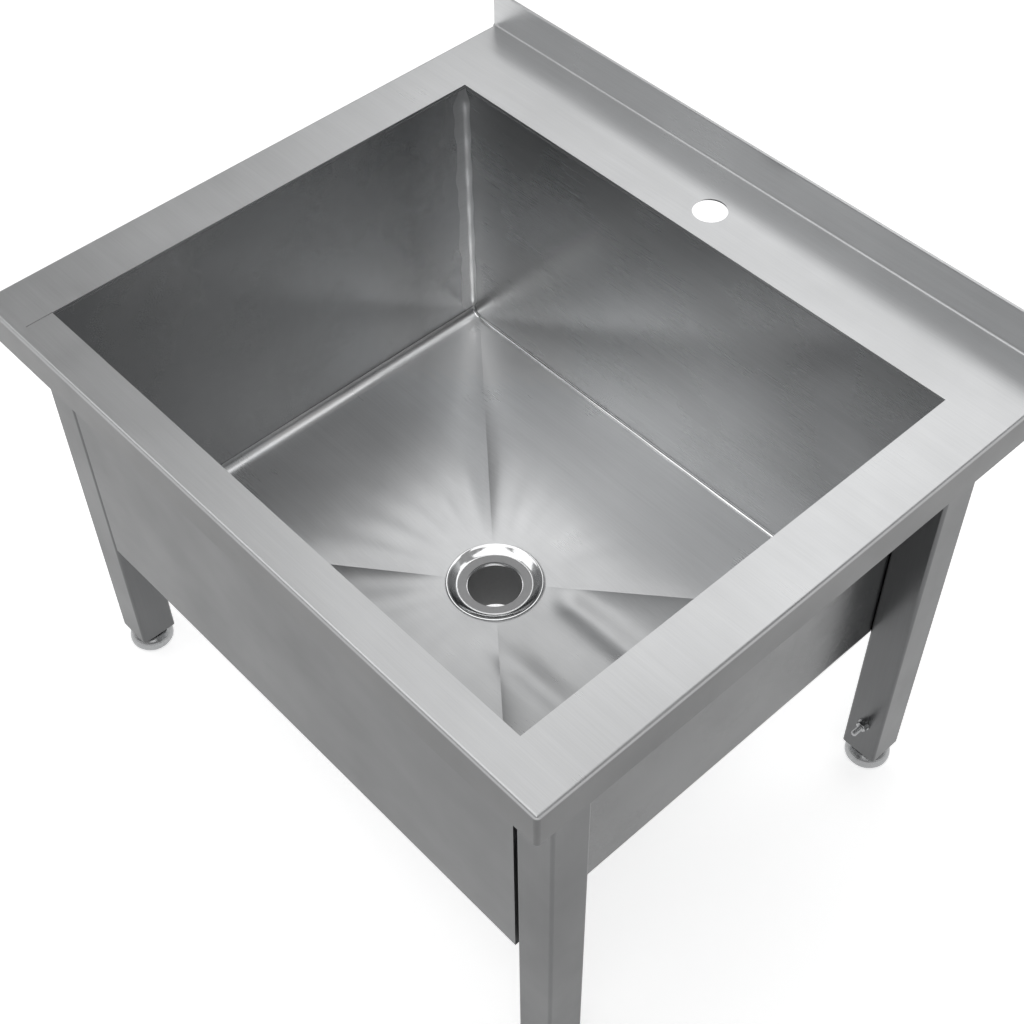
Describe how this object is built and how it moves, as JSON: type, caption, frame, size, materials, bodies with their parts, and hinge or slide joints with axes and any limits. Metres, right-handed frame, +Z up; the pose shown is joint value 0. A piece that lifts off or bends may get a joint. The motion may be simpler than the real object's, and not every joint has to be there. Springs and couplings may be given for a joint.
{
  "type": "utility laundry sink",
  "caption": "Low stainless utility sink: rectangular deep bowl in a folded top with rear upstand and tap hole, front apron, square legs on screw feet.",
  "frame": {"origin": "middle of the whole sink, on the floor under the foot pads", "axes": "+X to the sink's right along the width, +Y to the wall behind the upstand, +Z up"},
  "size_m": [0.7, 0.603, 0.54],
  "materials": {
    "top_sheet": "brushed sheet, grain along the width",
    "bowl_sheet": "satin brushed sheet",
    "panel_sheet": "satin brushed sheet",
    "rail_sheet": "mill finish sheet",
    "leg_tube": "brushed tube, grain along the leg",
    "plug_moulding": "moulded black plastic",
    "waste_chrome": "polished",
    "waste_rubber": "matt grey rubber",
    "earth_metal": "bright zinc",
    "foot_metal": "turned, satin bright"
  },
  "bodies": {
    "sink": {"top_deck": "top_sheet", "bowl_floor": "bowl_sheet", "bowl_wall_left": "bowl_sheet", "bowl_wall_right": "bowl_sheet", "bowl_wall_front": "bowl_sheet", "bowl_wall_back": "bowl_sheet", "front_panel": "panel_sheet", "side_rail_left": "rail_sheet", "side_rail_right": "rail_sheet", "front_rail": "rail_sheet", "rear_rail": "rail_sheet", "leg_front_left": "leg_tube", "leg_front_right": "leg_tube", "leg_back_left": "leg_tube", "leg_back_right": "leg_tube", "plug_front_left": "plug_moulding", "plug_front_right": "plug_moulding", "plug_back_left": "plug_moulding", "plug_back_right": "plug_moulding", "waste_flange": "waste_chrome", "waste_seat": "waste_rubber", "waste_upper_seal": "waste_rubber", "waste_lower_seal": "waste_rubber", "waste_backnut": "waste_chrome", "earth_stud": "earth_metal", "earth_washer": "earth_metal", "earth_nut": "earth_metal"},
    "foot_screw_front_left": {"screw_front_left": "foot_metal", "locknut_front_left": "foot_metal"},
    "foot_pad_front_left": {"pad_front_left": "foot_metal"},
    "foot_screw_front_right": {"screw_front_right": "foot_metal", "locknut_front_right": "foot_metal"},
    "foot_pad_front_right": {"pad_front_right": "foot_metal"},
    "foot_screw_back_left": {"screw_back_left": "foot_metal", "locknut_back_left": "foot_metal"},
    "foot_pad_back_left": {"pad_back_left": "foot_metal"},
    "foot_screw_back_right": {"screw_back_right": "foot_metal", "locknut_back_right": "foot_metal"},
    "foot_pad_back_right": {"pad_back_right": "foot_metal"}
  },
  "joints": [
    {"name": "foot_height_front_left", "type": "slide", "parent": "sink", "child": "foot_screw_front_left", "axis": [0, 0, -1], "range_m": [0, 0.02]},
    {"name": "foot_turn_front_left", "type": "hinge", "parent": "foot_screw_front_left", "child": "foot_pad_front_left", "pos_m": [-0.315, -0.2515, 0], "axis": [0, 0, 1], "continuous": true},
    {"name": "foot_height_front_right", "type": "slide", "parent": "sink", "child": "foot_screw_front_right", "axis": [0, 0, -1], "range_m": [0, 0.02]},
    {"name": "foot_turn_front_right", "type": "hinge", "parent": "foot_screw_front_right", "child": "foot_pad_front_right", "pos_m": [0.315, -0.2515, 0], "axis": [0, 0, 1], "continuous": true},
    {"name": "foot_height_back_left", "type": "slide", "parent": "sink", "child": "foot_screw_back_left", "axis": [0, 0, -1], "range_m": [0, 0.02]},
    {"name": "foot_turn_back_left", "type": "hinge", "parent": "foot_screw_back_left", "child": "foot_pad_back_left", "pos_m": [-0.315, 0.201, 0], "axis": [0, 0, 1], "continuous": true},
    {"name": "foot_height_back_right", "type": "slide", "parent": "sink", "child": "foot_screw_back_right", "axis": [0, 0, -1], "range_m": [0, 0.02]},
    {"name": "foot_turn_back_right", "type": "hinge", "parent": "foot_screw_back_right", "child": "foot_pad_back_right", "pos_m": [0.315, 0.201, 0], "axis": [0, 0, 1], "continuous": true}
  ]
}
